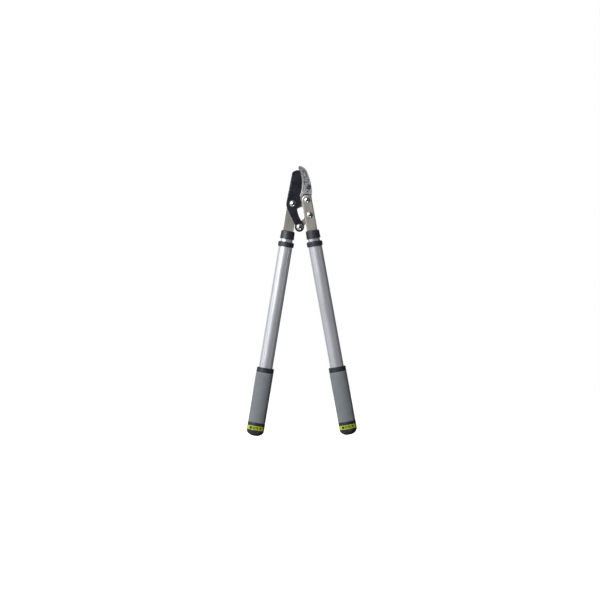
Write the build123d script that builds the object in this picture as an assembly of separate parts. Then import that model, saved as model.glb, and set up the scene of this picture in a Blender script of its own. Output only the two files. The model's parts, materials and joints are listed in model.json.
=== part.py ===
from build123d import *
from math import cos, hypot, radians, sin, sqrt
import os

# Telescopic compound-action bypass loppers, closed, in millimetres.
# The tool stands with its jaws up: +X is to the right, -Y is the front and +Z is up.
# Outlines are drawn in the front view as (x, z), measured from the blade's pivot, and every finished
# part then moves to the origin, which is where a wall peg holds the tool: under the blade's tail.

# ---- Driving dimensions ----------------------------------------------------------------------

# Pivots and the two handles' lean from upright
BLADE_PIVOT = (0.0, 0.0)
HANDLE_PIVOT = (33.7, 8.6)
LINK_DROP = 36.3            # link's upper pivot, down the right bar from the handle pivot
TAIL_PIVOT = (16.2, -56.2)  # link's lower pivot, on the blade's tail
TAIL_RADIUS = 11.3
LEFT_LEAN = -9.37
RIGHT_LEAN = 10.28
LEFT_FERRULE_DROP = 65.9    # ferrule top, down the left axis from the blade pivot
RIGHT_FERRULE_DROP = 73.2   # ferrule top, down the right axis from the handle pivot

# Layers, from the back of the frame plate to the front of the hook, as Y
PLATE_BACK = 5.0
PLATE_FRONT = 0.0
BEARING_GAP = 0.5
BLADE_BACK = PLATE_FRONT - BEARING_GAP
BLADE_FRONT = BLADE_BACK - 4.0
BLADE_FLAT = BLADE_FRONT + 0.4       # ground front face of the cutting half
BAR_BACK = BLADE_BACK
BAR_FRONT = BAR_BACK - 5.0
HOOK_FRONT = -8.0
HOOK_REBATE = BLADE_FLAT - 0.1       # hook's back face where the blade passes behind it
AXIS_Y = (PLATE_BACK + BAR_FRONT) / 2

# Bars
BAR_WIDTH = 25.0
TANG_WIDTH = 13.0
TANG_LENGTH = 36.0
EDGE_ROUND = 2.2                     # front edges of the right bar
PIN_STATIONS = (9.0, 16.0)
PIN_RADIUS = 2.0

# Cutting edge: arcs about one centre
EDGE_CENTRE = (-62.7, 49.0)
HOOK_EDGE = 85.0                     # radius of the hook's working edge
BLADE_LAP = 1.7                      # how far the closed blade passes the hook's edge
BLADE_EDGE = HOOK_EDGE + BLADE_LAP
REBATE_WALL = HOOK_EDGE + 5.5
HOOK_BEVEL = 3.0
BLADE_BEVEL = 8.0
EDGE_LAND = 0.3
HEEL_Z = 20.0
BLADE_TIP_Z = 79.6
HOOK_TIP_Z = 80.6

# Hook
SEAT_RADIUS = 15.0                   # hollow in the hook round the right bar's end
HOOK_SCREW = (37.9, 39.6)
HOOK_DOWEL = (35.3, 29.3)
SCREW_BOSS = 11.0
POCKET_DEPTH = 0.8
SCREW_SHANK = 3.0
SCREW_HEAD = 5.75
SCREW_SINK = 2.0
DOWEL_RADIUS = 2.5

# Pivot bolts, nuts and washers
SHANK = 4.0
HEAD_RADIUS = 8.0
HEAD_RIM = 0.9
HEAD_HEIGHT = 4.6
WASHER_RADIUS = 8.5
NUT_WASHER = 1.2
NUT_FLATS = 13.0
NUT_HEIGHT = 7.0
BOLT_SPARE = 1.5
RUNNING = 0.05                       # radial clearance of a turning fit
LOOSE = 0.1                          # radial clearance inside one body
TAIL_SLOT = 5.5                      # link's wide hole round the tail bolt: the opened pivot

# Oval sections: four arcs, with centres shared by every width, so each is 11 wider than deep
SIDE_CENTRE = 8.0
CROWN_CENTRE = 11.55
CENTRE_SPAN = hypot(SIDE_CENTRE, CROWN_CENTRE)
TUBE_WIDTH = 33.0
TUBE_WALL = 1.4
INNER_WIDTH = 28.6
INNER_WALL = 1.5
GROOVE_X = 8.4
GROOVE_RADIUS = 0.6
GLIDE = 0.6                          # difference in width of two sliding ovals
SNUG = 0.1                           # difference in width of two fixed ovals

# Stations down each handle, from the top of its ferrule
FERRULE_WALL = 3.0
FERRULE_END = 20.0
COLLAR_TOP = 27.0
TUBE_TOP = 31.0
COLLAR_END = 38.8
LOCK_STATION = 320.0
GRIP_COLLAR_TOP = 333.0
FOAM_TOP = 345.0
INNER_END = 370.0
BUSH_END = 376.0
CAP_PLUG_TOP = 445.0
CAP_TOP = 466.5
TUBE_END = 472.0
LABEL_TOP = 473.2
LABEL_END = 484.2
CAP_END = 498.5

# Lock: a sprung button in the inner tube, and a row of holes in the outer one
TRAVEL = 270.0
STOPS = 7
BUTTON_RADIUS = 4.0
BUTTON_FLANGE = 5.5
BUTTON_GAP = 0.3
BUTTON_PROUD = 2.0
SPRING_STRIP = 0.8
SPRING_WIDTH = 7.0
SPRING_BEND = 292.0
SPRING_RADIUS = 5.0

CAP_WIDTH = 42.0
FOAM_WIDTH = 41.5
CAP_ROUND = 13.5
CAP_DOME = 15.0                         # height of the oval that rounds the cap in the front view


# ---- Helpers ---------------------------------------------------------------------------------

def along(start, lean, distance):
    """Point in the front view at a distance down a handle's axis."""
    turn = radians(lean)
    return (start[0] + distance * sin(turn), start[1] - distance * cos(turn))


def on_circle(centre, radius, angle):
    """Point in the front view on a circle, by its angle from +X."""
    turn = radians(angle)
    return (centre[0] + radius * cos(turn), centre[1] + radius * sin(turn))


def on_edge(radius, height):
    """Point at a height on an arc about the cutting edge's centre."""
    rise = height - EDGE_CENTRE[1]
    return (EDGE_CENTRE[0] + sqrt(radius**2 - rise**2), height)


def slab(outline, back, front):
    """Plate with a front-view outline, between two depths in Y."""
    return extrude(Plane.XZ.offset(-back) * outline, amount=back - front)


def disc(centre, radius, back, front):
    """Cylinder along Y."""
    return slab(Pos(*centre) * Circle(radius), back, front)


def cone(centre, back_radius, front_radius, back, front):
    """Frustum along Y."""
    rings = [
        Plane.XZ.offset(-depth) * (Pos(*centre) * Circle(radius))
        for depth, radius in ((back, back_radius), (front, front_radius))
    ]
    return loft(rings, ruled=True)


def half_depth(width):
    """Half the depth of an oval section, at its middle."""
    return width / 2 - SIDE_CENTRE + CENTRE_SPAN - CROWN_CENTRE


def oval(width):
    """Four-arc oval section. Ovals of different widths are parallel curves."""
    side = width / 2 - SIDE_CENTRE
    x = SIDE_CENTRE * (1 + side / CENTRE_SPAN)
    y = CROWN_CENTRE * side / CENTRE_SPAN
    crown = half_depth(width)
    arcs = [
        ThreePointArc((x, -y), (width / 2, 0), (x, y)),
        ThreePointArc((x, y), (0, crown), (-x, y)),
        ThreePointArc((-x, y), (-width / 2, 0), (-x, -y)),
        ThreePointArc((-x, -y), (0, -crown), (x, -y)),
    ]
    return make_face(arcs)


class Handle:
    """One handle's axis. Its frame has z down the handle, x to the right and y to the front."""

    def __init__(self, pivot, lean, drop, back, front):
        top = along(pivot, lean, drop)
        turn = radians(lean)
        down = Vector(sin(turn), 0, -cos(turn))
        right = Vector(cos(turn), 0, sin(turn))
        self.top = top
        self.lean = lean
        self.back = back
        self.front = front
        self.frame = Plane(origin=(top[0], AXIS_Y, top[1]), x_dir=right, z_dir=down)

    def run(self, start, end, width):
        """Straight oval solid between two stations."""
        return extrude(self.frame.offset(start) * oval(width), amount=end - start)

    def taper(self, *steps):
        """Oval solid through (station, width) steps, straight between them."""
        return loft([self.frame.offset(z) * oval(width) for z, width in steps], ruled=True)

    def pin(self, station, radius, start, end):
        """Cylinder across the handle, between two depths towards the front."""
        across = Plane(
            origin=self.frame.from_local_coords((0, start, station)),
            z_dir=self.frame.y_dir,
        )
        return extrude(across * Circle(radius), amount=end - start)

    def tang(self, spare):
        """Tang of the bar, from its shoulders down, with spare all round."""
        shape = Pos(0, -TANG_LENGTH / 2) * Rectangle(TANG_WIDTH + 2 * spare, TANG_LENGTH + 2 * spare)
        placed = Pos(*self.top) * Rot(0, 0, self.lean) * shape
        return slab(placed, self.back + spare, self.front - spare)


LEFT = Handle(BLADE_PIVOT, LEFT_LEAN, LEFT_FERRULE_DROP, PLATE_BACK, PLATE_FRONT)
RIGHT = Handle(HANDLE_PIVOT, RIGHT_LEAN, RIGHT_FERRULE_DROP, BAR_BACK, BAR_FRONT)
LINK_PIVOT = along(HANDLE_PIVOT, RIGHT_LEAN, LINK_DROP)


# ---- Head ------------------------------------------------------------------------------------

def hull(first, first_radius, second, second_radius):
    """Outline wrapped round two circles."""
    rings = [Pos(*first) * Circle(first_radius), Pos(*second) * Circle(second_radius)]
    return make_hull([ring.edge() for ring in rings])


def bar_outline(pivot, lean, length):
    """Flat bar with a round end about its pivot, down to its shoulders."""
    shape = Circle(BAR_WIDTH / 2) + Pos(0, -length / 2) * Rectangle(BAR_WIDTH, length)
    return Pos(*pivot) * Rot(0, 0, lean) * shape


def tang_pins(handle):
    """Two cross pins through the inner tube, the plug and the tang."""
    reach = half_depth(INNER_WIDTH) - 0.2
    pins = [handle.pin(station, PIN_RADIUS, -reach, reach) for station in PIN_STATIONS]
    return Compound(children=pins)


def pin_holes(handle):
    """Cutters for the cross pins."""
    reach = INNER_WIDTH / 2
    return [handle.pin(station, PIN_RADIUS + LOOSE, -reach, reach) for station in PIN_STATIONS]


def frame_plate():
    """Left bar and the plate that carries both pivots and the hook."""
    outline = bar_outline(BLADE_PIVOT, LEFT_LEAN, LEFT_FERRULE_DROP)
    outline += hull(BLADE_PIVOT, 13.5, HANDLE_PIVOT, 12.0)
    outline += hull(HANDLE_PIVOT, 12.0, HOOK_SCREW, 7.0)
    plate = slab(outline, PLATE_BACK, PLATE_FRONT)
    plate += LEFT.tang(0)
    plate -= disc(BLADE_PIVOT, SHANK + LOOSE, PLATE_BACK, PLATE_FRONT)
    plate -= disc(HANDLE_PIVOT, SHANK + LOOSE, PLATE_BACK, PLATE_FRONT)
    plate -= disc(HOOK_SCREW, SCREW_SHANK + LOOSE, PLATE_BACK, PLATE_FRONT)
    plate -= disc(HOOK_DOWEL, DOWEL_RADIUS + 0.01, PLATE_BACK, PLATE_FRONT)
    return plate - pin_holes(LEFT)


def hook_outline():
    """Front-view outline of the hook: working edge, beak, back and the hollow over the right bar."""
    heel = on_edge(HOOK_EDGE, HEEL_Z)
    tip = on_edge(HOOK_EDGE, HOOK_TIP_Z)
    seat_left = on_circle(HANDLE_PIVOT, SEAT_RADIUS, 151)
    seat_right = on_circle(HANDLE_PIVOT, SEAT_RADIUS, 68)
    edges = [
        ThreePointArc(heel, on_edge(HOOK_EDGE, EDGE_CENTRE[1]), tip),
        Line(tip, (13.4, 84.0)),
        ThreePointArc((13.4, 84.0), (14.3, 88.2), (18.0, 90.6)),
        ThreePointArc((18.0, 90.6), (28.6, 85.0), (35.3, 74.4)),
        ThreePointArc((35.3, 74.4), (41.9, 55.5), (46.1, 31.7)),
        Line((46.1, 31.7), (46.1, seat_right[1])),
        Line((46.1, seat_right[1]), seat_right),
        ThreePointArc(seat_right, on_circle(HANDLE_PIVOT, SEAT_RADIUS, 110), seat_left),
        Line(seat_left, heel),
    ]
    return make_face(edges)


def hook_jaw():
    """Cast hook: thick back screwed to the plate, thinner lip in front of the blade."""
    outline = hook_outline()
    hook = slab(outline, PLATE_FRONT, HOOK_FRONT)
    hook -= disc(EDGE_CENTRE, REBATE_WALL, PLATE_FRONT, HOOK_REBATE)
    hook -= cone(EDGE_CENTRE, HOOK_EDGE, HOOK_EDGE + HOOK_BEVEL, HOOK_FRONT + 1.8, HOOK_FRONT)
    pocket = offset(outline, -2.4)
    pocket -= Pos(*EDGE_CENTRE) * Circle(HOOK_EDGE + HOOK_BEVEL + 1.5)
    pocket -= Pos(*HOOK_SCREW) * Circle(SCREW_BOSS)
    pocket -= Pos(HOOK_SCREW[0], HOOK_SCREW[1] - 30) * Rectangle(60, 60)
    hook -= slab(pocket, HOOK_FRONT + POCKET_DEPTH, HOOK_FRONT)
    hook -= disc(HOOK_SCREW, SCREW_HEAD + 0.6, HOOK_FRONT + SCREW_SINK, HOOK_FRONT)
    hook -= disc(HOOK_SCREW, SCREW_SHANK + LOOSE, PLATE_FRONT, HOOK_FRONT)
    hook -= disc(HOOK_DOWEL, DOWEL_RADIUS + 0.01, PLATE_FRONT, HOOK_FRONT)
    return hook


def cutting_blade():
    """Blade with a rounded heel round its pivot and a tail that ends in a disc."""
    heel = on_edge(BLADE_EDGE, HEEL_Z)
    tip = on_edge(BLADE_EDGE, BLADE_TIP_Z)
    edges = [
        ThreePointArc(heel, on_edge(BLADE_EDGE, EDGE_CENTRE[1]), tip),
        Line(tip, (14.9, 80.4)),
        Line((14.9, 80.4), (10.5, 80.6)),
        Line((10.5, 80.6), (4.0, 78.3)),
        ThreePointArc((4.0, 78.3), (0.3, 76.0), (-1.7, 72.2)),
        Line((-1.7, 72.2), (-15.2, 2.0)),
        ThreePointArc((-15.2, 2.0), (-15.1, -4.8), (-12.9, -11.4)),
        Line((-12.9, -11.4), (5.8, -51.6)),
        Line((5.8, -51.6), TAIL_PIVOT),
        Line(TAIL_PIVOT, (26.4, -51.1)),
        Line((26.4, -51.1), (16.3, -33.1)),
        ThreePointArc((16.3, -33.1), (12.9, -23.6), (10.6, -13.6)),
        Line((10.6, -13.6), (16.3, -6.2)),
        ThreePointArc((16.3, -6.2), (18.7, 0.0), (18.2, 6.7)),
        Line((18.2, 6.7), (16.3, 15.8)),
        Line((16.3, 15.8), heel),
    ]
    outline = make_face(edges) + Pos(*TAIL_PIVOT) * Circle(TAIL_RADIUS)
    blade = slab(outline, BLADE_BACK, BLADE_FRONT)
    blade -= disc((22.0, 52.0), 34.5, BLADE_FLAT, BLADE_FRONT)
    bevel = disc(EDGE_CENTRE, BLADE_EDGE + 5, BLADE_BACK, BLADE_FLAT + EDGE_LAND)
    bevel -= cone(
        EDGE_CENTRE, BLADE_EDGE - BLADE_BEVEL, BLADE_EDGE, BLADE_BACK, BLADE_FLAT + EDGE_LAND
    )
    bevel &= slab(Pos(20, HEEL_Z + 41) * Rectangle(60, 80), BLADE_BACK, BLADE_FRONT)
    blade -= bevel
    blade -= disc(BLADE_PIVOT, SHANK + RUNNING, BLADE_BACK, BLADE_FRONT)
    blade -= disc(TAIL_PIVOT, SHANK + LOOSE, BLADE_BACK, BLADE_FRONT)
    return blade


def right_bar():
    """Right handle's bar, from its pivot to its tang."""
    outline = bar_outline(HANDLE_PIVOT, RIGHT_LEAN, RIGHT_FERRULE_DROP)
    bar = slab(outline, BAR_BACK, BAR_FRONT)
    rim = bar.faces().sort_by(Axis.Y)[0].edges().sort_by(Axis.Z)
    bar = fillet(rim[1:], EDGE_ROUND)
    bar += RIGHT.tang(0)
    bar -= disc(HANDLE_PIVOT, SHANK + RUNNING, BAR_BACK, BAR_FRONT)
    bar -= disc(LINK_PIVOT, SHANK + LOOSE, BAR_BACK, BAR_FRONT)
    return bar - pin_holes(RIGHT)


def link_plate():
    """Link between the right bar and the blade's tail, with a wide lower hole."""
    strip = hull(LINK_PIVOT, 6.5, TAIL_PIVOT, 6.5)
    outline = strip + Pos(*LINK_PIVOT) * Circle(8.5) + Pos(*TAIL_PIVOT) * Circle(9.5)
    link = slab(outline, PLATE_BACK, PLATE_FRONT)
    link -= disc(LINK_PIVOT, SHANK + RUNNING, PLATE_BACK, PLATE_FRONT)
    return link - disc(TAIL_PIVOT, TAIL_SLOT, PLATE_BACK, PLATE_FRONT)


# ---- Fasteners -------------------------------------------------------------------------------

NUT_SEAT = PLATE_BACK + NUT_WASHER


def domed_bolt(pivot, seat):
    """Bolt with a domed head in front of its seat and a chamfered end past its nut."""
    end = NUT_SEAT + NUT_HEIGHT + BOLT_SPARE
    rim_front = seat - HEAD_RIM
    dome = HEAD_HEIGHT - HEAD_RIM
    ball = (HEAD_RADIUS**2 + dome**2) / (2 * dome)
    cap = Pos(pivot[0], rim_front - dome + ball, pivot[1]) * Sphere(ball)
    cap &= disc(pivot, HEAD_RADIUS, rim_front, seat - 2 * HEAD_HEIGHT)
    shank = disc(pivot, SHANK, end, seat)
    shank = chamfer(shank.edges().sort_by(Axis.Y)[-1], 0.8)
    return shank + disc(pivot, HEAD_RADIUS, seat, rim_front) + cap


def ring(pivot, outer, inner, back, front):
    """Flat washer."""
    return disc(pivot, outer, back, front) - disc(pivot, inner, back, front)


def lock_nut(pivot, seat, flats, height, bore):
    """Hexagonal nut with a round collar that holds its locking insert."""
    body = slab(Pos(*pivot) * RegularPolygon(flats / 2, 6, major_radius=False), seat + height, seat)
    corner = flats / sqrt(3)
    body &= cone(pivot, corner - 1.6, corner + 0.4, seat + height, seat + height - 2.2) + disc(
        pivot, corner + 0.4, seat + height - 2.2, seat
    )
    return body - disc(pivot, bore, seat + height, seat)


def hook_screw():
    """Button-head socket screw, sunk into the hook."""
    seat = HOOK_FRONT + SCREW_SINK
    end = PLATE_BACK + 1.0 + 5.0 + 1.0
    head = disc(HOOK_SCREW, SCREW_HEAD, seat, seat - 3.2)
    head = fillet(head.edges().sort_by(Axis.Y)[0], 2.2)
    socket = Pos(*HOOK_SCREW) * RegularPolygon(2.0, 6, major_radius=False)
    screw = head + disc(HOOK_SCREW, SCREW_SHANK, end, seat)
    return screw - slab(socket, seat - 1.2, seat - 3.2)


# ---- Handles ---------------------------------------------------------------------------------

def ferrule(handle):
    """Flared sleeve over the top of the inner tube, closed on top round the tang."""
    sleeve = handle.taper((0, 29.0), (2.0, 32.6), (FERRULE_END, 34.0))
    sleeve -= handle.run(FERRULE_WALL, FERRULE_END, INNER_WIDTH + SNUG)
    return sleeve - handle.tang(LOOSE)


def tang_plug(handle):
    """Packing between the tang and the inner tube."""
    plug = handle.run(FERRULE_WALL, TANG_LENGTH + 4, INNER_WIDTH - 2 * INNER_WALL - SNUG)
    return plug - handle.tang(LOOSE) - pin_holes(handle)


def inner_tube(handle):
    """Inner tube, fixed to the head, with one hole at the back for the lock button."""
    tube = handle.run(FERRULE_WALL, INNER_END, INNER_WIDTH)
    tube -= handle.run(FERRULE_WALL, INNER_END, INNER_WIDTH - 2 * INNER_WALL)
    tube -= handle.pin(LOCK_STATION, BUTTON_RADIUS + BUTTON_GAP, -12, -5)
    return tube - pin_holes(handle)


def guide_bush(handle):
    """Bush on the inner tube's lower end, which guides it inside the outer tube."""
    bush = handle.run(INNER_END, BUSH_END, TUBE_WIDTH - 2 * TUBE_WALL - GLIDE)
    bush += handle.run(INNER_END - 16, INNER_END, INNER_WIDTH - 2 * INNER_WALL - SNUG)
    return bush - handle.run(INNER_END - 16, BUSH_END, 20.0)


BUTTON_SEAT = half_depth(INNER_WIDTH) - INNER_WALL - 1.1
FLANGE_DEPTH = 1.4


def lock_button(handle):
    """Round button through both tubes, with a flange inside the inner one."""
    tip = half_depth(TUBE_WIDTH) + BUTTON_PROUD
    stem = handle.pin(LOCK_STATION, BUTTON_RADIUS, -tip, -BUTTON_SEAT)
    stem = fillet(stem.edges().sort_by(Axis.Y)[-1], 1.2)
    return stem + handle.pin(LOCK_STATION, BUTTON_FLANGE, -BUTTON_SEAT, FLANGE_DEPTH - BUTTON_SEAT)


def lock_spring(handle):
    """Bent leaf: one leg under the button's flange, the other on the tube's front wall."""
    back = BUTTON_SEAT - FLANGE_DEPTH - SPRING_STRIP / 2
    front = half_depth(INNER_WIDTH) - INNER_WALL - 0.5 - SPRING_STRIP / 2
    foot = LOCK_STATION + 10
    corners = ((foot, back), (SPRING_BEND, back), (SPRING_BEND, -front), (foot, -front))
    leaf = trace(FilletPolyline(*corners, radius=SPRING_RADIUS), SPRING_STRIP)
    side = Plane(
        origin=handle.frame.from_local_coords((-SPRING_WIDTH / 2, 0, 0)),
        x_dir=handle.frame.z_dir,
        z_dir=handle.frame.x_dir,
    )
    return extrude(side * leaf, amount=SPRING_WIDTH)


def collar(handle):
    """Collar on the outer tube's mouth, which rides on the inner tube."""
    body = handle.taper((COLLAR_TOP, 35.4), (COLLAR_TOP + 1.6, 37.8), (COLLAR_END, 37.8))
    body -= handle.run(COLLAR_TOP, TUBE_TOP, INNER_WIDTH + GLIDE)
    return body - handle.run(TUBE_TOP, COLLAR_END, TUBE_WIDTH + SNUG)


def outer_tube(handle):
    """Outer tube with a pair of shallow grooves on each face and a row of lock holes at the back."""
    crown = CENTRE_SPAN + TUBE_WIDTH / 2 - SIDE_CENTRE
    groove_y = sqrt(crown**2 - GROOVE_X**2) - CROWN_CENTRE
    section = oval(TUBE_WIDTH) - oval(TUBE_WIDTH - 2 * TUBE_WALL)
    for x in (-GROOVE_X, GROOVE_X):
        for y in (-groove_y, groove_y):
            section -= Pos(x, y) * Circle(GROOVE_RADIUS)
    tube = extrude(handle.frame.offset(TUBE_TOP) * section, amount=TUBE_END - TUBE_TOP)
    pitch = TRAVEL / (STOPS - 1)
    for stop in range(STOPS):
        tube -= handle.pin(LOCK_STATION - stop * pitch, BUTTON_RADIUS + BUTTON_GAP, -14, -6)
    return tube


def grip_collar(handle):
    """Moulded ring above the foam."""
    body = handle.taper((GRIP_COLLAR_TOP, 39.6), (GRIP_COLLAR_TOP + 1.2, 41.3), (FOAM_TOP, 41.3))
    return body - handle.run(GRIP_COLLAR_TOP, FOAM_TOP, TUBE_WIDTH + SNUG)


def foam_grip(handle):
    """Foam sleeve, as a plain solid."""
    return handle.run(FOAM_TOP, CAP_TOP, FOAM_WIDTH) - handle.run(FOAM_TOP, CAP_TOP, TUBE_WIDTH + SNUG)


def end_cap(handle):
    """Round-ended cap with a plug in the outer tube and a shallow seat for the label."""
    cap = handle.run(CAP_TOP, CAP_END, CAP_WIDTH)
    foot = cap.faces().sort_by(Axis.Z)[0]
    cap = fillet(foot.edges(), CAP_ROUND)
    outline = Pos(0, -(CAP_TOP + LABEL_END) / 2) * Rectangle(CAP_WIDTH + 2, LABEL_END - CAP_TOP + 2)
    outline += Pos(0, -LABEL_END) * Ellipse(CAP_WIDTH / 2 + 0.1, CAP_DOME)
    placed = Pos(*handle.top) * Rot(0, 0, handle.lean) * outline
    cap &= slab(placed, CAP_WIDTH / 2, -CAP_WIDTH / 2)
    cap -= handle.run(LABEL_TOP, LABEL_END, CAP_WIDTH + 1) - handle.run(LABEL_TOP, LABEL_END, CAP_WIDTH - 0.8)
    cap -= handle.run(CAP_TOP, TUBE_END, TUBE_WIDTH + SNUG)
    return cap + handle.run(CAP_PLUG_TOP, TUBE_END, TUBE_WIDTH - 2 * TUBE_WALL - SNUG)


def label_band(handle):
    """Coloured band round the cap."""
    band = handle.run(LABEL_TOP, LABEL_END, CAP_WIDTH + 0.2)
    return band - handle.run(LABEL_TOP, LABEL_END, CAP_WIDTH - 0.7)


# ---- Assembly --------------------------------------------------------------------------------

nodes = {
    "frame_plate": frame_plate(),
    "hook_jaw": hook_jaw(),
    "hook_screw": hook_screw(),
    "hook_screw_washer": ring(HOOK_SCREW, 6.0, SCREW_SHANK + LOOSE, PLATE_BACK + 1.0, PLATE_BACK),
    "hook_screw_nut": lock_nut(HOOK_SCREW, PLATE_BACK + 1.0, 10.0, 5.0, SCREW_SHANK + 0.02),
    "hook_dowel": disc(HOOK_DOWEL, DOWEL_RADIUS, PLATE_BACK, HOOK_FRONT - 0.3),
    "cutting_blade": cutting_blade(),
    "right_bar": right_bar(),
    "link_plate": link_plate(),
}

pivots = {
    "blade_pivot": (BLADE_PIVOT, BLADE_FRONT),
    "handle_pivot": (HANDLE_PIVOT, BAR_FRONT),
    "upper_link": (LINK_PIVOT, BAR_FRONT),
    "lower_link": (TAIL_PIVOT, BLADE_FRONT),
}
for name, (pivot, seat) in pivots.items():
    nodes[name + "_bolt"] = domed_bolt(pivot, seat)
    nodes[name + "_washer"] = ring(pivot, WASHER_RADIUS, SHANK + LOOSE, PLATE_FRONT, BLADE_BACK)
    nodes[name + "_nut_washer"] = ring(pivot, WASHER_RADIUS, SHANK + LOOSE, NUT_SEAT, PLATE_BACK)
    nodes[name + "_nut"] = lock_nut(pivot, NUT_SEAT, NUT_FLATS, NUT_HEIGHT, SHANK + 0.02)

handle_parts = {
    "ferrule": ferrule,
    "tang_plug": tang_plug,
    "tang_pins": tang_pins,
    "inner_tube": inner_tube,
    "guide_bush": guide_bush,
    "lock_button": lock_button,
    "lock_spring": lock_spring,
    "collar": collar,
    "outer_tube": outer_tube,
    "grip_collar": grip_collar,
    "foam_grip": foam_grip,
    "end_cap": end_cap,
    "label_band": label_band,
}
for side, handle in (("left", LEFT), ("right", RIGHT)):
    for name, build in handle_parts.items():
        nodes[side + "_" + name] = build(handle)

to_peg = Pos(-TAIL_PIVOT[0], 0, TAIL_RADIUS - TAIL_PIVOT[1])
os.makedirs("parts", exist_ok=True)
for name, shape in nodes.items():
    export_step(to_peg * shape, "parts/" + name + ".step")
print(len(nodes), "nodes")
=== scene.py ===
"""Bypass loppers with telescopic oval handles, dressed round their fixed frame.

Everything is in metres in the frame's own axes: +X to the right, -Y to the front, +Z up.
"""

import json
import logging
from dataclasses import dataclass
from enum import Enum
from functools import cache
from math import atan2, cos, hypot, pi, radians, sin, sqrt
from typing import Callable, Iterable, Sequence

import bmesh
import bpy
from bmesh.types import BMEdge, BMesh, BMFace
from bpy.types import Material, NodeSocket, Object
from mathutils import Matrix, Vector, noise


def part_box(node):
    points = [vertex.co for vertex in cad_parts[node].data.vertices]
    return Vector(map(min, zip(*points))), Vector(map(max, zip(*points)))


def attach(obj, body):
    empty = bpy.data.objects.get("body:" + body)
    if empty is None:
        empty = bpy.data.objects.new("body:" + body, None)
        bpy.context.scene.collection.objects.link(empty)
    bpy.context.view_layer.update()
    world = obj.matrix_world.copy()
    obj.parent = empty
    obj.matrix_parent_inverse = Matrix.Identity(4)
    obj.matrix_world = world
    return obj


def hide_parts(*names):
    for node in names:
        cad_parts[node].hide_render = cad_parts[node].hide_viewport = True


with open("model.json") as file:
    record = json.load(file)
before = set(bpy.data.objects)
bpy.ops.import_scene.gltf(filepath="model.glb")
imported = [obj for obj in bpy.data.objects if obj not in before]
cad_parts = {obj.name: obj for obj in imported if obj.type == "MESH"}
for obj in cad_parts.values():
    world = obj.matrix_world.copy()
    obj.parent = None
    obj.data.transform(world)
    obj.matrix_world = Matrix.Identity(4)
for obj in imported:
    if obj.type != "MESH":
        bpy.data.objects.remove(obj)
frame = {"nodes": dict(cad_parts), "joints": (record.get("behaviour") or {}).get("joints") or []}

log = logging.getLogger("loppers")

MM = 0.001
WELD = 1e-6
FLAT_ANGLE = 0.01
FLAT_STEP = 0.01 * MM
CREASE = radians(32)
PLATE_CREASE = radians(40)
MOULD_SOFT = 0.12 * MM
MOULD_CREASE = radians(24)
CHIP_FADE = 8 * MM
Colour = tuple[float, float, float]
Step = tuple[float, float]


class Body(str, Enum):
    """Bodies that the pieces move with."""

    HEAD = "head"
    BLADE = "blade"
    LINK = "link"
    RIGHT_HANDLE = "right_handle"
    LEFT_EXTENSION = "left_extension"
    RIGHT_EXTENSION = "right_extension"
    LEFT_BUTTON = "left_button"
    RIGHT_BUTTON = "right_button"


class Slot(str, Enum):
    """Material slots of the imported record."""

    GREY_BAR = "grey_bar"
    CAST_HOOK = "cast_hook"
    BLACK_BLADE = "black_blade"
    CHROME = "chrome"
    DARK_STEEL = "dark_steel"
    PLAIN_STEEL = "plain_steel"
    SPRING_STEEL = "spring_steel"
    NYLON = "nylon"
    BRIGHT_TUBE = "bright_tube"
    SILVER_TUBE = "silver_tube"
    GREY_FOAM = "grey_foam"
    LIME_BAND = "lime_band"
    BLACK_PLASTIC = "black_plastic"


def tone(red: int, green: int, blue: int) -> Colour:
    """Turn a finish's display colour into linear light.

    Args:
        red: Red from 0 to 255.
        green: Green from 0 to 255.
        blue: Blue from 0 to 255.

    Returns:
        The colour as three linear values.
    """

    def linear(value: int) -> float:
        """Undo the display curve of one channel."""
        share = value / 255
        return share / 12.92 if share <= 0.04045 else ((share + 0.055) / 1.055) ** 2.4

    return linear(red), linear(green), linear(blue)


def scaled(colour: Colour, share: float) -> Colour:
    """Darken or lighten a colour, up to full light."""
    return tuple(min(1.0, c * share) for c in colour)


# ---- Finishes ----


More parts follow.
